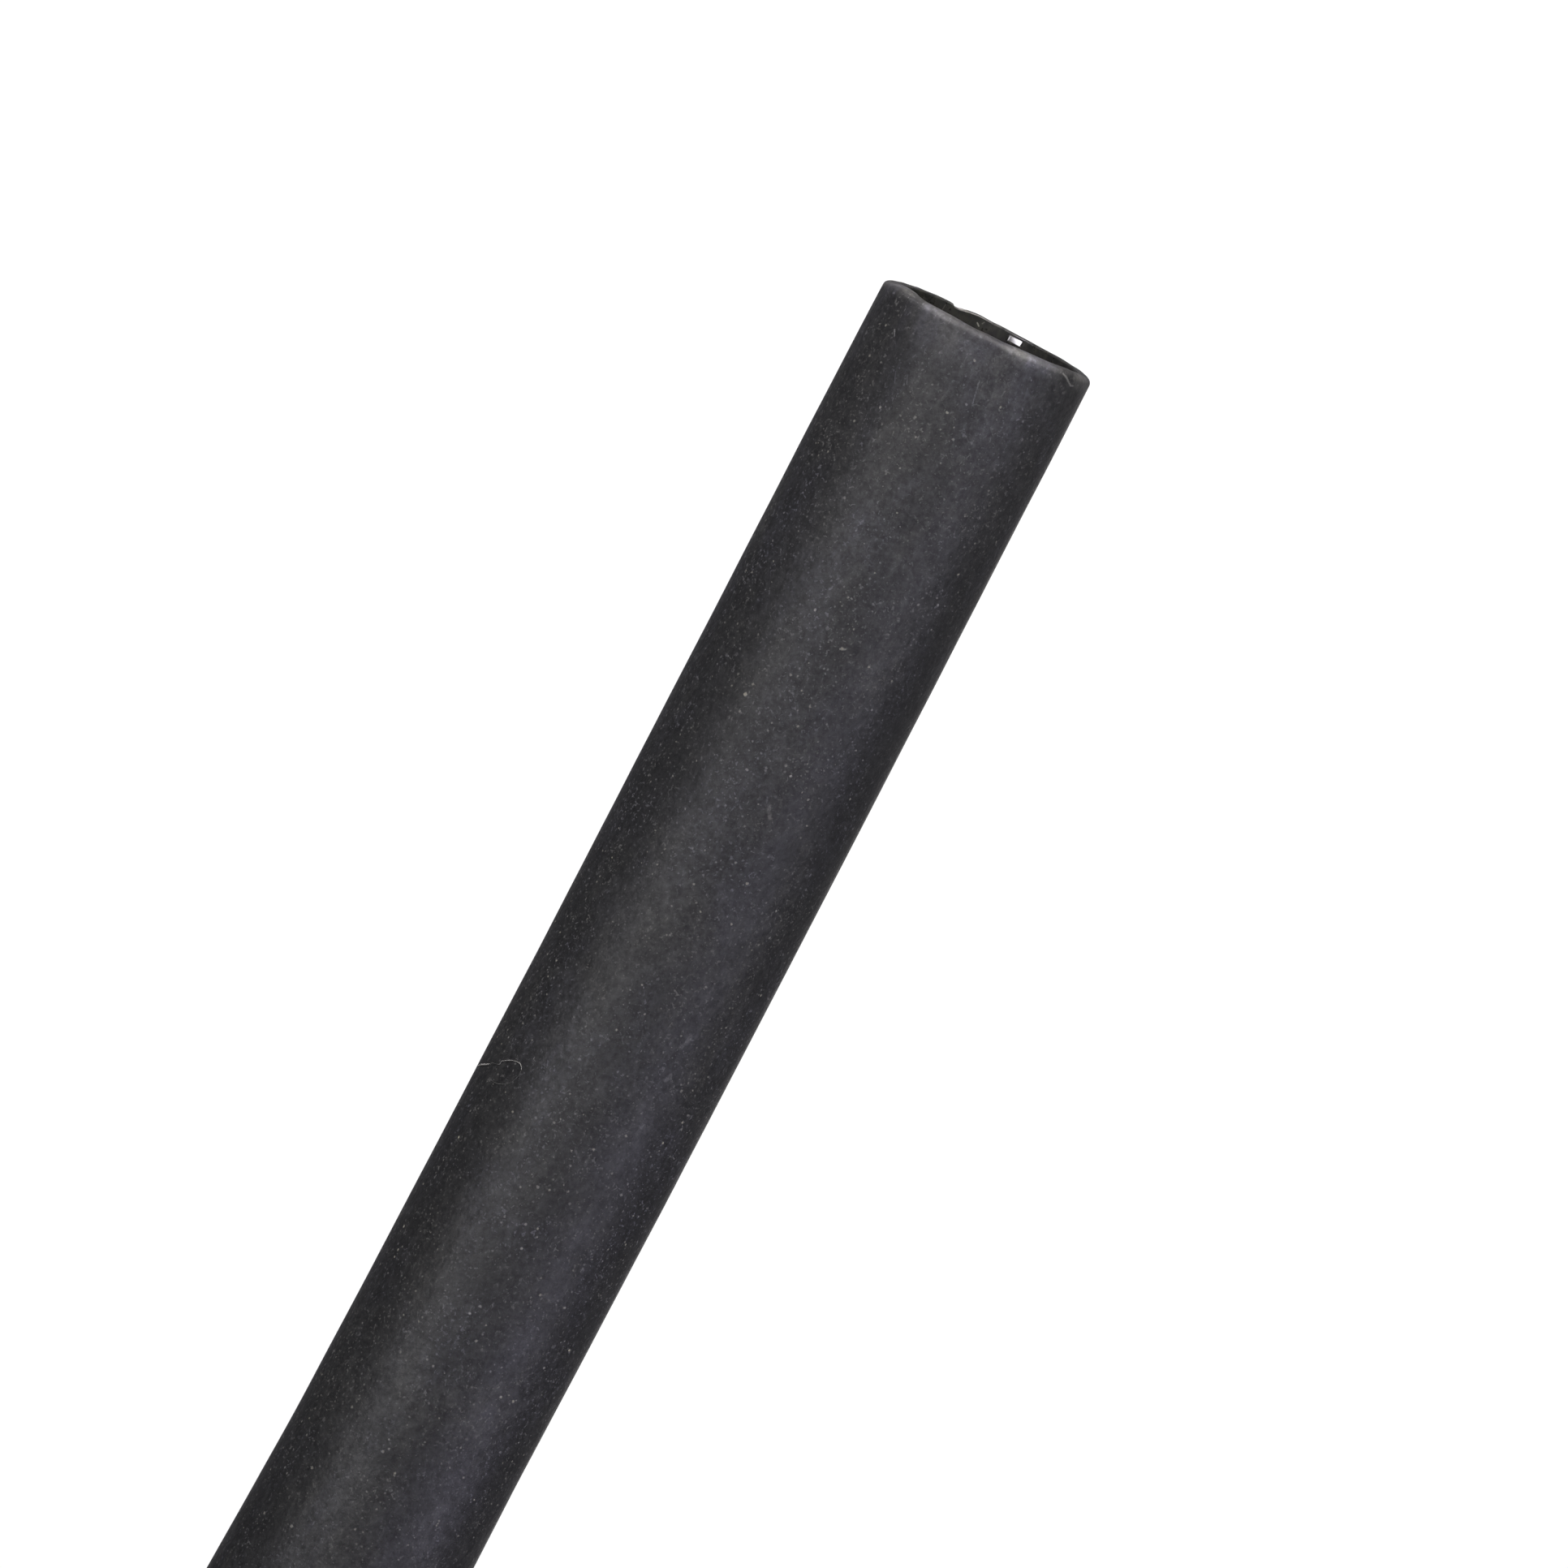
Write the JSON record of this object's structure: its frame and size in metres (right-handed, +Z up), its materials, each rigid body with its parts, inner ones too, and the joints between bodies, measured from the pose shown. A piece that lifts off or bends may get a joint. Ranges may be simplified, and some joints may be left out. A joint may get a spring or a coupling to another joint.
{
  "type": "heat shrink tube",
  "caption": "Length of black heat shrink tube, as supplied: an open, slightly oval plastic sleeve with rounded cut ends, which slips over a cable or splice and shrinks onto it.",
  "frame": {"origin": "centre of the tube's footprint box, on the floor that the tube lies on", "axes": "+X along the line from the far end's centre to the mouth's centre, +Y towards the inner side of the gentle bend, +Z up"},
  "size_m": [0.1528, 0.0128, 0.0109],
  "materials": {
    "tube": "matte black cross-linked plastic with faint dust, smoother inside"
  },
  "bodies": {
    "root": {"heat_shrink_tube": "tube"}
  },
  "joints": []
}
